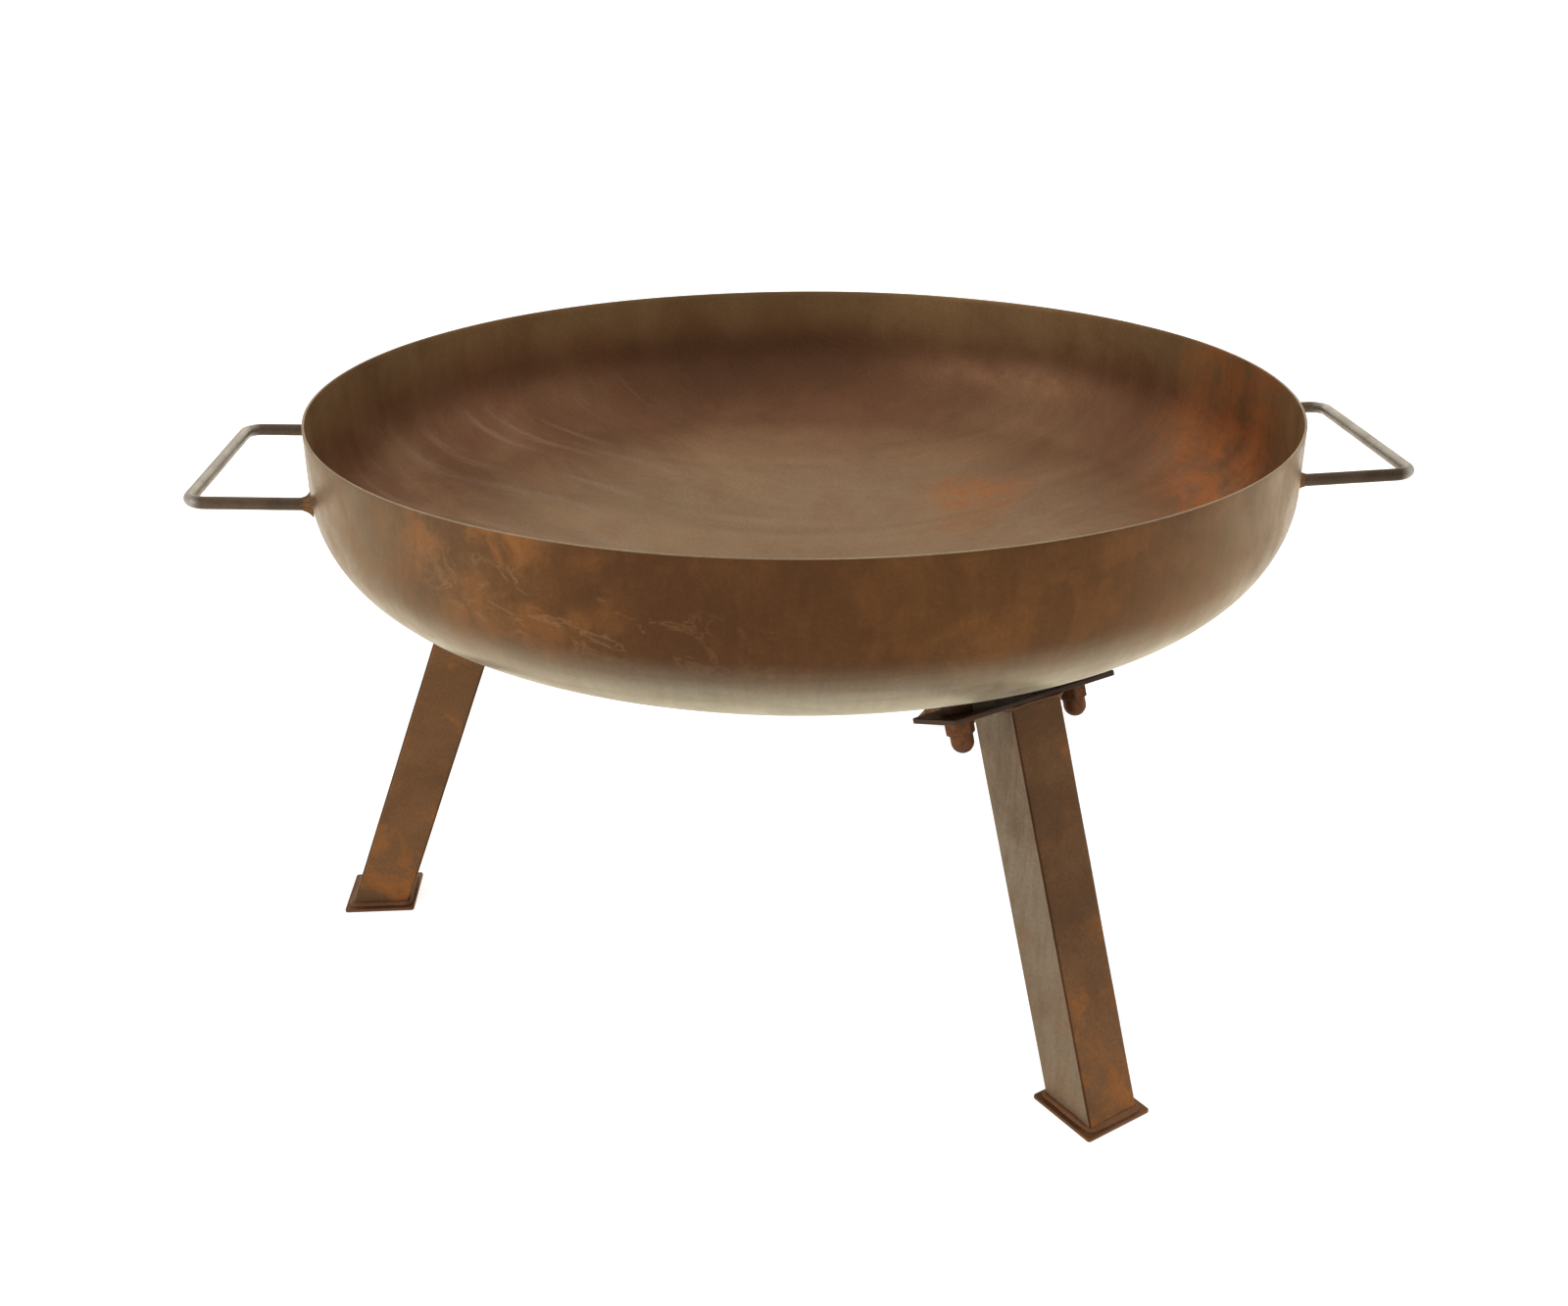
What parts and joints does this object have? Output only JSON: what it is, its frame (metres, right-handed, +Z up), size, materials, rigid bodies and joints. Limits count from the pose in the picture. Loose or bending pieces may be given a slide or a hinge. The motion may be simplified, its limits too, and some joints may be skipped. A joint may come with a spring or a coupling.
{
  "type": "fire bowl",
  "caption": "Round dished steel fire bowl with rod handles on splayed square tube legs bolted under it, rusted all over.",
  "frame": {"origin": "on the ground, on the bowl's axis", "axes": "+Z up along the bowl's axis; +X along the right handle, so the legs stand at 180 degrees and at plus and minus 60 degrees from +X"},
  "size_m": [0.9738, 0.8, 0.472],
  "materials": {
    "bowl_steel": "matte",
    "rod_steel": "matte",
    "tube_steel": "matte",
    "plate_steel": "matte",
    "weld_steel": "matte",
    "fastener_steel": "matte"
  },
  "bodies": {
    "root": {"bowl": "bowl_steel", "handle_right": "rod_steel", "handle_right_weld_a": "weld_steel", "handle_right_weld_b": "weld_steel", "handle_left": "rod_steel", "handle_left_weld_a": "weld_steel", "handle_left_weld_b": "weld_steel", "leg_a_tube": "tube_steel", "leg_a_plate": "plate_steel", "leg_a_foot": "plate_steel", "leg_a_top_weld": "weld_steel", "leg_a_foot_weld": "weld_steel", "leg_a_stud_1": "fastener_steel", "leg_a_spacer_1": "fastener_steel", "leg_a_washer_1": "fastener_steel", "leg_a_nut_1": "fastener_steel", "leg_a_stud_2": "fastener_steel", "leg_a_spacer_2": "fastener_steel", "leg_a_washer_2": "fastener_steel", "leg_a_nut_2": "fastener_steel", "leg_b_tube": "tube_steel", "leg_b_plate": "plate_steel", "leg_b_foot": "plate_steel", "leg_b_top_weld": "weld_steel", "leg_b_foot_weld": "weld_steel", "leg_b_stud_1": "fastener_steel", "leg_b_spacer_1": "fastener_steel", "leg_b_washer_1": "fastener_steel", "leg_b_nut_1": "fastener_steel", "leg_b_stud_2": "fastener_steel", "leg_b_spacer_2": "fastener_steel", "leg_b_washer_2": "fastener_steel", "leg_b_nut_2": "fastener_steel", "leg_c_tube": "tube_steel", "leg_c_plate": "plate_steel", "leg_c_foot": "plate_steel", "leg_c_top_weld": "weld_steel", "leg_c_foot_weld": "weld_steel", "leg_c_stud_1": "fastener_steel", "leg_c_spacer_1": "fastener_steel", "leg_c_washer_1": "fastener_steel", "leg_c_nut_1": "fastener_steel", "leg_c_stud_2": "fastener_steel", "leg_c_spacer_2": "fastener_steel", "leg_c_washer_2": "fastener_steel", "leg_c_nut_2": "fastener_steel"}
  },
  "joints": []
}
